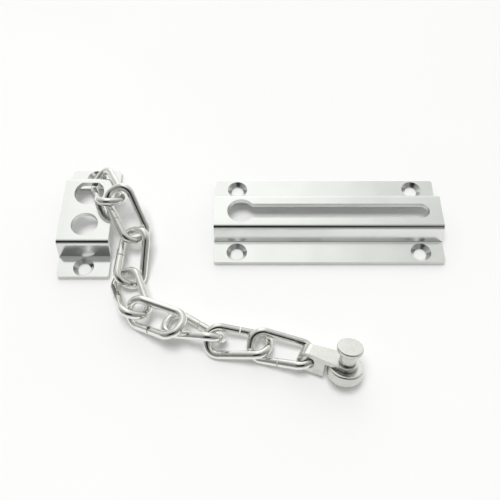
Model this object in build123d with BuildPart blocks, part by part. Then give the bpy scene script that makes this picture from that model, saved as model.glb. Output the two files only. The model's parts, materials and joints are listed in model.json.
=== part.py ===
# Door chain: keyhole slide plate, bridge bracket, eight twisted wire links and a stud on an end tab.
# Millimetres. Origin at the centre of the slide plate's back face, +X along its slot, +Z out of the door.
import os
from math import cos, hypot, radians, sin

from build123d import *

# Sheet metal of the plate and the bracket
SHEET = 2.2
BEND_OUTER = 2.0
BEND_INNER = 0.5
CORNER_ROUND = 1.0

# Countersunk screw holes
SCREW_HOLE = 4.9
SCREW_SINK = 8.0
SINK_ANGLE = 90

# Slide plate
PLATE_LENGTH = 90.0
PLATE_WIDTH = 39.6
PLATE_HEIGHT = 8.8
PLATE_FLANGE = 9.4
PLATE_WALL_RUN = 2.8
PLATE_HOLE_END = 9.0
PLATE_HOLE_EDGE = 4.6
ENTRY_END = 10.7
SLOT_END = 4.9
HEAD_PASSAGE = 1.8
NECK_PASSAGE = 0.6

# Jamb bracket
BRACKET_APART = 40.0
BRACKET_SHIFT = 0.5
BRACKET_WIDTH = 20.0
BRACKET_LENGTH = 51.4
BRACKET_HEIGHT = 10.0
BRACKET_FRONT_FLANGE = 8.7
BRACKET_FRONT_RUN = 1.9
BRACKET_REAR_FLANGE = 7.6
BRACKET_REAR_RUN = 2.2
BRACKET_HOLE_EDGE = 4.2
FREE_HOLE = 10.5
FREE_HOLE_Y = -7.2
STRIP = 2.5
CHAIN_HOLE = 11.8
CHAIN_HOLE_EDGE = 4.9
WINDOW_WIDTH = 12.6
WINDOW_SILL = 1.2

# Wire links
WIRE = 3.1
LINK_LENGTH = 25.2
LINK_WIDTH = 13.9
LINK_BEND = 4.2
LINK_TWIST = 60
SEAM_GAP = 0.4
LINK_PLAY = 0.25

# First link on the strip, from the strip's top rear edge
FIRST_LINK_SIDE = 2.7
FIRST_LINK_BEHIND = 2.5
FIRST_LINK_BELOW = 2.7

# Lie of the links: heading, slope, roll, slack, place along the last end wire and along its own, seam side
LIE = [
    (-65, 22, 12, 0.0, 0.0, 0.0, "right"),
    (-61, -26, 2, 2.0, 1.0, 1.0, "right"),
    (-93, -11, -3, 0.5, 1.0, -1.5, "right"),
    (-68, 13, -1, 2.0, -2.0, 0.5, "right"),
    (-26, 14, 22, 3.0, -0.5, -0.5, "right"),
    (-24, 12, -35, 7.5, 1.5, 2.0, "left"),
    (-7, 2, 1, 2.0, 1.0, -1.0, "left"),
    (-14, 1, 9, 3.0, 0.5, -0.5, "right"),
]

# End tab
TAB_WIDTH = 5.4
TAB_LEAF = 1.8
TAB_HEADING = -22
TAB_SLOPE = 4
TAB_ROLL = -24
EYE_PLAY = 1.0
EYE_DROP = 0.1
EYE_BACK = 0.6
EYE_SIDE = 0.7
EYE_WALL = 1.4
EYE_BLOCK = 3.6
EYE_RELIEF = 0.5
LEAF_RIM = 0.9

# Stud
STUD_FLOAT = 0.2
SHANK = 4.0
NECK = 6.2
NECK_LENGTH = 4.6
HEAD = 9.2
HEAD_THICK = 1.9
HEAD_ROUND = 0.6
KNOB = 12.8
KNOB_HEIGHT = 5.6
KNOB_ROUND = 2.8
KNOB_RIM = 0.8

os.makedirs("parts", exist_ok=True)


def hat_section(plane, front, rear, flanges, runs, height):
    """Section of a folded strip: flat flanges, sloping walls and a raised top."""
    rise = height - SHEET
    foot = [front + flanges[0], rear - flanges[1]]
    slope = [runs[0] / rise, -runs[1] / rise]
    level = [SHEET * hypot(runs[0], rise) / rise, -SHEET * hypot(runs[1], rise) / rise]
    outside = [(front, SHEET), (foot[0], SHEET), (foot[0] + runs[0], height)]
    outside += [(foot[1] - runs[1], height), (foot[1], SHEET), (rear, SHEET)]
    under = [foot[side] + level[side] - SHEET * slope[side] for side in (0, 1)]
    crown = [foot[side] + level[side] + (rise - SHEET) * slope[side] for side in (0, 1)]
    inside = [(front, 0), (under[0], 0), (crown[0], rise), (crown[1], rise), (under[1], 0), (rear, 0)]
    with BuildSketch(plane) as section:
        with BuildLine():
            FilletPolyline(*outside, radius=[BEND_INNER, BEND_OUTER, BEND_OUTER, BEND_INNER])
            FilletPolyline(*inside, radius=[BEND_OUTER, BEND_INNER, BEND_INNER, BEND_OUTER])
            Line(outside[0], inside[0])
            Line(outside[-1], inside[-1])
        make_face()
    return section.sketch


def directions(heading, slope, roll):
    """Forward, left and up of a piece that heads, climbs and rolls by these degrees."""
    h = radians(heading)
    s = radians(slope)
    r = radians(roll)
    forward = Vector(cos(h) * cos(s), sin(h) * cos(s), sin(s))
    level = Vector(-sin(h), cos(h), 0)
    upright = forward.cross(level)
    left = level * cos(r) + upright * sin(r)
    up = upright * cos(r) - level * sin(r)
    return forward, left, up


# Slide plate: its slot takes the stud's neck, and its entry the stud's head
slot_width = NECK + NECK_PASSAGE
entry_radius = (HEAD + HEAD_PASSAGE) / 2
entry_x = -PLATE_LENGTH / 2 + ENTRY_END
slot_x = PLATE_LENGTH / 2 - SLOT_END - slot_width / 2
plate_section = hat_section(
    Plane.YZ,
    -PLATE_WIDTH / 2,
    PLATE_WIDTH / 2,
    (PLATE_FLANGE, PLATE_FLANGE),
    (PLATE_WALL_RUN, PLATE_WALL_RUN),
    PLATE_HEIGHT,
)
with BuildPart() as slide_plate:
    extrude(plate_section, amount=PLATE_LENGTH / 2, both=True)
    with BuildSketch(Plane.XY.offset(PLATE_HEIGHT)):
        with Locations((entry_x, 0)):
            Circle(entry_radius)
        with Locations((slot_x, 0)):
            Circle(slot_width / 2)
        with Locations(((entry_x + slot_x) / 2, 0)):
            Rectangle(slot_x - entry_x, slot_width)
    extrude(amount=-PLATE_HEIGHT, mode=Mode.SUBTRACT)
    with Locations(Plane.XY.offset(SHEET)):
        with GridLocations(PLATE_LENGTH - 2 * PLATE_HOLE_END, PLATE_WIDTH - 2 * PLATE_HOLE_EDGE, 2, 2):
            CounterSinkHole(SCREW_HOLE / 2, SCREW_SINK / 2, counter_sink_angle=SINK_ANGLE)
    ends = slide_plate.edges().filter_by(Axis.Z).group_by(Axis.X)
    fillet(ends[0] + ends[-1], CORNER_ROUND)
slide_plate.part.label = "slide_plate"
export_step(slide_plate.part, "parts/slide_plate.step")

# Jamb bracket: the strip behind the chain hole carries the first link
bracket_x = -PLATE_LENGTH / 2 - BRACKET_APART - BRACKET_WIDTH / 2
bracket_front = -BRACKET_SHIFT - BRACKET_LENGTH / 2
bracket_rear = -BRACKET_SHIFT + BRACKET_LENGTH / 2
strip_rear = bracket_rear - BRACKET_REAR_FLANGE - BRACKET_REAR_RUN
strip_front = strip_rear - STRIP
chain_hole_y = strip_front - CHAIN_HOLE_EDGE
sill = SHEET + WINDOW_SILL
lintel = BRACKET_HEIGHT - SHEET
bracket_section = hat_section(
    Plane.YZ.offset(bracket_x),
    bracket_front,
    bracket_rear,
    (BRACKET_FRONT_FLANGE, BRACKET_REAR_FLANGE),
    (BRACKET_FRONT_RUN, BRACKET_REAR_RUN),
    BRACKET_HEIGHT,
)
with BuildPart() as jamb_bracket:
    extrude(bracket_section, amount=BRACKET_WIDTH / 2, both=True)
    with BuildSketch(Plane.XY.offset(BRACKET_HEIGHT)):
        with Locations((bracket_x, chain_hole_y)):
            Circle(CHAIN_HOLE / 2)
        with Locations((bracket_x, strip_front)):
            Rectangle(BRACKET_WIDTH, CHAIN_HOLE, align=(Align.CENTER, Align.MIN), mode=Mode.SUBTRACT)
        with Locations((bracket_x, FREE_HOLE_Y)):
            Circle(FREE_HOLE / 2)
    extrude(amount=-BRACKET_HEIGHT, mode=Mode.SUBTRACT)
    with BuildSketch(Plane.XZ.offset(-bracket_rear)):
        with Locations((bracket_x, sill)):
            Rectangle(WINDOW_WIDTH, lintel - sill, align=(Align.CENTER, Align.MIN))
    extrude(amount=bracket_rear - strip_front, mode=Mode.SUBTRACT)
    with Locations(
        (bracket_x, bracket_front + BRACKET_HOLE_EDGE, SHEET),
        (bracket_x, bracket_rear - BRACKET_HOLE_EDGE, SHEET),
    ):
        CounterSinkHole(SCREW_HOLE / 2, SCREW_SINK / 2, counter_sink_angle=SINK_ANGLE)
    ends = jamb_bracket.edges().filter_by(Axis.Z).group_by(Axis.Y)
    fillet(ends[0] + ends[-1], CORNER_ROUND)
jamb_bracket.part.label = "jamb_bracket"
export_step(jamb_bracket.part, "parts/jamb_bracket.step")

# Twisted links: each end wire lies half the twist to its own side, and a link hangs on the last one's end
half_length = (LINK_LENGTH - WIRE) / 2
half_width = (LINK_WIDTH - WIRE) / 2
half_twist = radians(LINK_TWIST / 2)
first_near = Vector(
    bracket_x + FIRST_LINK_SIDE,
    strip_rear + FIRST_LINK_BEHIND,
    BRACKET_HEIGHT - FIRST_LINK_BELOW,
)
far = None
for number, (heading, slope, roll, slack, along_last, along_own, seam_side) in enumerate(LIE, 1):
    forward, left, up = directions(heading, slope, roll)
    near_wire = left * cos(half_twist) + up * sin(half_twist)
    if far is None:
        near = first_near
    else:
        pull = far_wire.cross(near_wire).normalized()
        if pull.dot(last_forward) < 0:
            pull = pull * -1
        near = far + far_wire * along_last - pull * (WIRE + LINK_PLAY + slack) + near_wire * along_own
    far = near + forward * (2 * half_length)
    far_wire = left * cos(half_twist) - up * sin(half_twist)
    last_forward = forward
    corners = [
        near - near_wire * half_width,
        near + near_wire * half_width,
        far + far_wire * half_width,
        far - far_wire * half_width,
    ]
    if seam_side == "left":
        corners = corners[2:] + corners[:2]
    seam = (corners[0] + corners[3]) * 0.5
    end_gap = (corners[0] - corners[3]).normalized() * (SEAM_GAP / 2)
    with BuildPart() as link:
        with BuildLine() as bend:
            FilletPolyline(seam + end_gap, *corners, seam - end_gap, radius=LINK_BEND)
        with BuildSketch(Plane(origin=bend.line @ 0, z_dir=bend.line % 0)):
            Circle(WIRE / 2)
        sweep()
    link.part.label = f"link_{number}"
    export_step(link.part, f"parts/link_{number}.step")

# End tab: the eye hangs on the last link's end wire, and the leaf carries the stud
eye_radius = WIRE / 2 + EYE_PLAY
eye_outer = eye_radius + EYE_WALL
stud_place = eye_radius + EYE_BLOCK + EYE_RELIEF + KNOB / 2
leaf_end = NECK / 2 + LEAF_RIM
tab_forward, tab_left, tab_up = directions(TAB_HEADING, TAB_SLOPE, TAB_ROLL)
eye = far - tab_up * EYE_DROP - tab_forward * EYE_BACK - tab_left * EYE_SIDE
leaf_plane = Plane(origin=eye + tab_up * eye_outer, x_dir=tab_forward, z_dir=tab_up)
with BuildPart() as end_tab:
    with BuildSketch(Plane(origin=eye, x_dir=tab_forward, z_dir=tab_left * -1)):
        Circle(eye_outer)
        Rectangle(eye_radius + EYE_BLOCK, 2 * eye_outer, align=(Align.MIN, Align.CENTER))
        Circle(eye_radius, mode=Mode.SUBTRACT)
    extrude(amount=TAB_WIDTH / 2, both=True)
    with BuildSketch(leaf_plane) as leaf:
        Rectangle(eye_radius + EYE_BLOCK, TAB_WIDTH, align=(Align.MIN, Align.CENTER))
        with Locations((stud_place, 0)):
            Circle(leaf_end)
        make_hull()
    extrude(amount=-TAB_LEAF)
    with BuildSketch(leaf_plane):
        with Locations((stud_place, 0)):
            Circle(SHANK / 2 + STUD_FLOAT)
    extrude(amount=-TAB_LEAF, mode=Mode.SUBTRACT)
end_tab.part.label = "end_tab"
export_step(end_tab.part, "parts/end_tab.step")

# Stud: knob below the leaf, shank through it, neck and head above
stud_foot = eye + tab_forward * stud_place + tab_up * (eye_outer - TAB_LEAF - STUD_FLOAT)
neck_foot = TAB_LEAF + 2 * STUD_FLOAT
head_foot = neck_foot + NECK_LENGTH
head_top = head_foot + HEAD_THICK
with BuildPart() as slide_stud:
    with BuildSketch(Plane(origin=stud_foot, x_dir=tab_forward, z_dir=tab_left * -1)) as half:
        with BuildLine():
            Polyline(
                (0, -KNOB_HEIGHT),
                (KNOB / 2, -KNOB_HEIGHT),
                (KNOB / 2, 0),
                (SHANK / 2, 0),
                (SHANK / 2, neck_foot),
                (NECK / 2, neck_foot),
                (NECK / 2, head_foot),
                (HEAD / 2, head_foot),
                (HEAD / 2, head_top),
                (0, head_top),
                close=True,
            )
        make_face()
        fillet(half.vertices().group_by(Axis.X)[-1].sort_by(Axis.Y)[0], KNOB_ROUND)
        fillet(half.vertices().group_by(Axis.X)[-1].sort_by(Axis.Y)[-1], KNOB_RIM)
        fillet(half.vertices().sort_by(Axis.Y)[-4:].sort_by(Axis.X)[-2:], HEAD_ROUND)
    revolve(axis=Axis(stud_foot, tab_up))
slide_stud.part.label = "slide_stud"
export_step(slide_stud.part, "parts/slide_stud.step")
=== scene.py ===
# Door chain on a white table: plated plates, polished wire links and a turned stud.
import json
import math

import bpy
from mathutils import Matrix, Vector


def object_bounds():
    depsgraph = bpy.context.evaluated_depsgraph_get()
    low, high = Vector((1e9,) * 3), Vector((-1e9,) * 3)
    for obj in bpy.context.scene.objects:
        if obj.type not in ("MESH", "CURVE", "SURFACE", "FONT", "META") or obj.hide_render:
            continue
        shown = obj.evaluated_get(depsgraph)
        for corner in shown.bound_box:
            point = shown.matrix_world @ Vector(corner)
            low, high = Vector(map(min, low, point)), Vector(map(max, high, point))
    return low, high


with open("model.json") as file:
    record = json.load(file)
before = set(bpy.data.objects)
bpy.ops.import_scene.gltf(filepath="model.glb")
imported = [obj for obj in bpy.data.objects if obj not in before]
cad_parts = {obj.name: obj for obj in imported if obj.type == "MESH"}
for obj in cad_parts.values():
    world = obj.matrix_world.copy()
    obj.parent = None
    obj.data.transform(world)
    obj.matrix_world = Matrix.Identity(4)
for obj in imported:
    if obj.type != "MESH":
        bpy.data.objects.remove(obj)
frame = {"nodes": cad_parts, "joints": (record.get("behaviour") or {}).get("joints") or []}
cad_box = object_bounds()
nodes = frame["nodes"]
joints = {joint["name"]: joint for joint in frame["joints"]}

PLATES = ["slide_plate", "jamb_bracket"]
LINKS = [f"link_{number}" for number in range(1, 9)]
TURNED = ["end_tab", "slide_stud"]

# Lengths are in metres, and the scale of a texture is per metre

# Camera, as the photograph was taken
CAMERA_PLACE = (-0.03083, -0.15244, 0.22338)
CAMERA_TILT = math.radians(32)
CAMERA_LENS = 47.94
CAMERA_NEAR = 0.01

# Sockets of a Mix node that mixes colours
MIX_FACTOR = 0
MIX_FIRST = 6
MIX_SECOND = 7
MIX_RESULT = 2

# Noise textures: their detail, and the part of their range that a colour or a roughness follows
LINE_DETAIL = 4.0
CLOUD_DETAIL = 3.0
SOFT_DETAIL = 2.0
CLOUD_SPAN = (0.3, 0.7)
SPECK_SPAN = (0.35, 0.7)
TABLE_SPAN = (0.2, 0.8)

# For each metal, one pair of leans gives how far a face's normal leans along an axis where the colour turns
# from a painted shade on the sides to the bright colour on the flats, and RELIEF is the strength and depth
# of its fine bumps

# Plated sheet: rolling lines along X, clouds, and painted shade (a darker colour) where a face stands
# upright
SHEET_LINES = (25, 2200, 2200)
SHEET_CLOUDS = 60.0
SHEET_CLOUD_SHARE = 0.4
SHEET_ROUGHNESS = (0.1, 0.2)
SHEET_BRIGHT = ((0.80, 0.81, 0.79), (0.87, 0.88, 0.87))
# Darker copy of the sheet colour, painted on upright faces as shade
SHEET_PAINTED_SHADE = ((0.58, 0.59, 0.57), (0.66, 0.67, 0.65))
SHEET_SHADE_LEAN = (0.05, 0.6)
SHEET_RELIEF = (0.12, 0.00004)

# Polished wire: soft dents and fine specks
WIRE_DENTS = 420.0
WIRE_SPECKS = 2600.0
WIRE_ROUGHNESS = (0.08, 0.18)
WIRE_COLOUR = ((0.82, 0.82, 0.79), (0.90, 0.90, 0.87))
WIRE_RELIEF = (0.25, 0.0002)

# Turned metal: rings round the stud, clouds, and painted shade (a darker colour) on the sides
TURNED_RINGS = 420.0
TURNED_WOBBLE = 0.6
TURNED_CLOUDS = 300.0
TURNED_ROUGHNESS = (0.2, 0.32)
TURNED_BRIGHT = ((0.84, 0.84, 0.81), (0.91, 0.91, 0.88))
# Darker copy of the turned colour, painted on the sides as shade
TURNED_PAINTED_SHADE = ((0.58, 0.58, 0.55), (0.68, 0.68, 0.65))
TURNED_SHADE_LEAN = (0.3, 0.9)
TURNED_RELIEF = (0.15, 0.00005)

# Table top, with the share of plain white in it as the camera and the metal see it
FLOOR_SIZE = 4.0
FLOOR_CLOUDS = 8.0
FLOOR_COLOUR = ((0.93, 0.93, 0.92), (0.96, 0.96, 0.95))
FLOOR_GLOW = 0.08

# Tent, faintly green: its brightness from front to rear and from left to right, each from 0 to 1,
# and by the cosine of the angle from the opening that the photograph was taken through
TENT_TINT = (0.985, 1.0, 0.965)
TENT_DEPTH = [(0.0, 0.6), (0.1, 0.46), (0.25, 0.4), (0.5, 0.62), (0.76, 1.1), (1.0, 1.3)]
TENT_SIDES = [
    (0.0, 0.6), (0.3, 0.66), (0.37, 1.0), (0.53, 1.0),
    (0.6, 0.74), (0.68, 0.64), (0.85, 0.6), (1.0, 0.66),
]
TENT_OPENING = [(0.84, 1.0), (0.935, 0.05)]

# Soft lamp above the table, in watts, with a tint that evens out the tent's green
LAMP_PLACE = (-0.25, -0.06, 1.9)
LAMP_AIM = (-0.03, -0.01, 0)
LAMP_SIZE = 0.8
LAMP_POWER = 21.6
LAMP_TINT = (1.0, 0.985, 1.015)


class Shader:
    """A small helper around one node tree."""

    def __init__(self, tree):
        self.tree = tree
        self.tree.nodes.clear()

    def node(self, kind, inputs=None, **settings):
        made = self.tree.nodes.new(kind)
        for key, value in settings.items():
            setattr(made, key, value)
        for key, value in (inputs or {}).items():
            if isinstance(value, bpy.types.NodeSocket):
                self.tree.links.new(value, made.inputs[key])
            else:
                made.inputs[key].default_value = value
        return made

    def coordinate(self, kind):
        return self.node("ShaderNodeTexCoord").outputs[kind]

    def noise(self, place, scale, detail):
        inputs = {"Vector": place, "Scale": scale, "Detail": detail}
        return self.node("ShaderNodeTexNoise", inputs).outputs["Fac"]

    def maths(self, operation, first, second=0.0):
        return self.node("ShaderNodeMath", {0: first, 1: second}, operation=operation).outputs["Value"]

    def dot(self, first, second):
        made = self.node("ShaderNodeVectorMath", {0: first, 1: second}, operation="DOT_PRODUCT")
        return made.outputs["Value"]

    def spread(self, value, span, limits):
        """Map a value from one span to other limits."""
        inputs = {
            "Value": value,
            "From Min": span[0],
            "From Max": span[1],
            "To Min": limits[0],
            "To Max": limits[1],
        }
        return self.node("ShaderNodeMapRange", inputs).outputs["Result"]

    def ramp(self, factor, stops):
        made = self.node("ShaderNodeValToRGB", {"Fac": factor})
        marks = made.color_ramp.elements
        while len(marks) < len(stops):
            marks.new(0.5)
        for mark, (place, shade) in zip(marks, stops):
            mark.position = place
            mark.color = (shade, shade, shade, 1) if isinstance(shade, float) else (*shade, 1)
        return made.outputs["Color"]

    def painted_side_shade(self, cloud, lean, shade_lean, bright, painted_shade):
        """Clouded colour, bright on faces whose normal leans along an axis, with painted shade on the
        sides.
        """
        # Painted shade: the darker colour is mixed in where the normal leans away from the axis
        unshaded = self.ramp(self.maths("ABSOLUTE", lean), stops_at(shade_lean, (0.0, 1.0)))
        inputs = {
            MIX_FACTOR: unshaded,
            MIX_FIRST: self.ramp(cloud, stops_at(CLOUD_SPAN, painted_shade)),
            MIX_SECOND: self.ramp(cloud, stops_at(CLOUD_SPAN, bright)),
        }
        return self.node("ShaderNodeMix", inputs, data_type="RGBA").outputs[MIX_RESULT]

    def metal(self, colour, roughness, height, relief):
        """Plated metal, with a fine relief of this strength and depth."""
        strength, depth = relief
        inputs = {"Height": height, "Strength": strength, "Distance": depth}
        bump = self.node("ShaderNodeBump", inputs).outputs["Normal"]
        surface = self.node(
            "ShaderNodeBsdfPrincipled",
            {"Base Color": colour, "Metallic": 1.0, "Roughness": roughness, "Normal": bump},
        )
        self.node("ShaderNodeOutputMaterial", {"Surface": surface.outputs["BSDF"]})


def stops_at(places, shades):
    """Stops of a ramp with these shades at these places."""
    return list(zip(places, shades))


def new_material(name):
    made = bpy.data.materials.new(name)
    made.use_nodes = True
    return made, Shader(made.node_tree)


def plated_sheet():
    """Bright zinc on rolled steel sheet: fine lines along the sheet, cloudy gloss and painted shade on
    upright faces such as the cut edges.
    """
    made, shader = new_material("plated_sheet")
    place = shader.coordinate("Object")
    along = shader.node("ShaderNodeMapping", {"Vector": place, "Scale": SHEET_LINES}).outputs["Vector"]
    grain = shader.noise(along, 1.0, LINE_DETAIL)
    cloud = shader.noise(place, SHEET_CLOUDS, CLOUD_DETAIL)
    gloss = shader.node(
        "ShaderNodeMix",
        {"A": grain, "B": cloud, "Factor": SHEET_CLOUD_SHARE},
        data_type="FLOAT",
    ).outputs["Result"]
    roughness = shader.spread(gloss, CLOUD_SPAN, SHEET_ROUGHNESS)
    upright = shader.node("ShaderNodeSeparateXYZ", {"Vector": shader.coordinate("Normal")}).outputs["Z"]
    # Painted shade: upright faces take the darker colour
    colour = shader.painted_side_shade(cloud, upright, SHEET_SHADE_LEAN, SHEET_BRIGHT, SHEET_PAINTED_SHADE)
    shader.metal(colour, roughness, grain, SHEET_RELIEF)
    return made


def polished_wire():
    """Tumbled and plated wire: near mirror, with soft dents and fine specks."""
    made, shader = new_material("polished_wire")
    place = shader.coordinate("Object")
    dents = shader.noise(place, WIRE_DENTS, SOFT_DETAIL)
    specks = shader.noise(place, WIRE_SPECKS, SOFT_DETAIL)
    roughness = shader.spread(specks, SPECK_SPAN, WIRE_ROUGHNESS)
    colour = shader.ramp(dents, stops_at(CLOUD_SPAN, WIRE_COLOUR))
    shader.metal(colour, roughness, dents, WIRE_RELIEF)
    return made


def turned_metal(joint):
    """Turned and plated metal: faint rings round the axis of this joint, and painted shade on the sides."""
    made, shader = new_material("turned_stud")
    place = shader.coordinate("Object")
    centre = Vector(joint["pos_m"])
    turn = Vector(joint["axis"]).rotation_difference(Vector((0, 0, 1)))
    level = shader.node(
        "ShaderNodeMapping",
        {"Vector": place, "Rotation": turn.to_euler(), "Location": -(turn @ centre)},
    ).outputs["Vector"]
    rings = shader.node(
        "ShaderNodeTexWave",
        {"Vector": level, "Scale": TURNED_RINGS, "Distortion": TURNED_WOBBLE, "Detail": 1.0},
        wave_type="RINGS",
        rings_direction="Z",
    ).outputs["Fac"]
    cloud = shader.noise(place, TURNED_CLOUDS, CLOUD_DETAIL)
    roughness = shader.spread(cloud, CLOUD_SPAN, TURNED_ROUGHNESS)
    upright = shader.dot(shader.coordinate("Normal"), joint["axis"])
    # Painted shade: the sides of the stud and the tab take the darker colour
    colour = shader.painted_side_shade(cloud, upright, TURNED_SHADE_LEAN, TURNED_BRIGHT, TURNED_PAINTED_SHADE)
    shader.metal(colour, roughness, rings, TURNED_RELIEF)
    return made


def paint(names, material):
    for name in names:
        nodes[name].data.materials.clear()
        nodes[name].data.materials.append(material)


def white_floor():
    """Pale table top that takes the soft shadows."""
    bpy.ops.mesh.primitive_plane_add(size=FLOOR_SIZE, location=(0, 0, cad_box[0].z))
    floor = bpy.context.object
    floor.name = "floor"
    made, shader = new_material("white_floor")
    cloud = shader.noise(shader.coordinate("Object"), FLOOR_CLOUDS, SOFT_DETAIL)
    colour = shader.ramp(cloud, stops_at(TABLE_SPAN, FLOOR_COLOUR))
    table = shader.node("ShaderNodeBsdfDiffuse", {"Color": colour}).outputs["BSDF"]
    glow = shader.node("ShaderNodeEmission", {"Color": (1, 1, 1, 1), "Strength": 1.0})
    white = glow.outputs["Emission"]
    ray = shader.node("ShaderNodeLightPath").outputs
    seen = shader.maths("ADD", ray["Is Camera Ray"], ray["Is Glossy Ray"])
    seen = shader.maths("ADD", seen, ray["Is Transmission Ray"])
    share = shader.maths("MULTIPLY", seen, FLOOR_GLOW)
    surface = shader.node("ShaderNodeMixShader", {"Fac": share, 1: table, 2: white})
    shader.node("ShaderNodeOutputMaterial", {"Surface": surface.outputs["Shader"]})
    floor.data.materials.append(made)


def studio_world():
    """White tent: brightest at the rear, greyer to the right, and dark at its opening."""
    world = bpy.data.worlds.new("studio")
    bpy.context.scene.world = world
    world.use_nodes = True
    shader = Shader(world.node_tree)
    direction = shader.coordinate("Generated")
    parts = shader.node("ShaderNodeSeparateXYZ", {"Vector": direction}).outputs
    depth = shader.spread(parts["Y"], (-1.0, 1.0), (0.0, 1.0))
    side = shader.spread(parts["X"], (-1.0, 1.0), (0.0, 1.0))
    facing = shader.dot(direction, Vector(CAMERA_PLACE).normalized())
    tent = shader.maths("MULTIPLY", shader.ramp(depth, TENT_DEPTH), shader.ramp(side, TENT_SIDES))
    tent = shader.maths("MULTIPLY", tent, shader.ramp(facing, TENT_OPENING))
    tinted = shader.node("ShaderNodeVectorMath", {0: TENT_TINT, "Scale": tent}, operation="SCALE")
    back = shader.node("ShaderNodeBackground", {"Color": tinted.outputs["Vector"], "Strength": 1.0})
    shader.node("ShaderNodeOutputWorld", {"Surface": back.outputs["Background"]})


def soft_lamp():
    """Square lamp that lights the table and stays out of the metal's reflections."""
    lamp = bpy.data.lights.new("softbox", "AREA")
    lamp.size = LAMP_SIZE
    lamp.energy = LAMP_POWER
    lamp.color = LAMP_TINT
    holder = bpy.data.objects.new("softbox", lamp)
    holder.location = LAMP_PLACE
    holder.rotation_euler = (Vector(LAMP_AIM) - Vector(LAMP_PLACE)).to_track_quat("-Z", "Y").to_euler()
    holder.visible_glossy = False
    bpy.context.scene.collection.objects.link(holder)


def photo_camera():
    """Camera at the photograph's place and angle."""
    data = bpy.data.cameras.new("camera")
    data.lens = CAMERA_LENS
    data.clip_start = CAMERA_NEAR
    holder = bpy.data.objects.new("camera", data)
    holder.location = CAMERA_PLACE
    holder.rotation_euler = (CAMERA_TILT, 0, 0)
    bpy.context.scene.collection.objects.link(holder)
    bpy.context.scene.camera = holder


paint(PLATES, plated_sheet())
paint(LINKS, polished_wire())
paint(TURNED, turned_metal(joints["stud_spin"]))

white_floor()
studio_world()
soft_lamp()
photo_camera()
bpy.context.scene.view_settings.view_transform = "Standard"
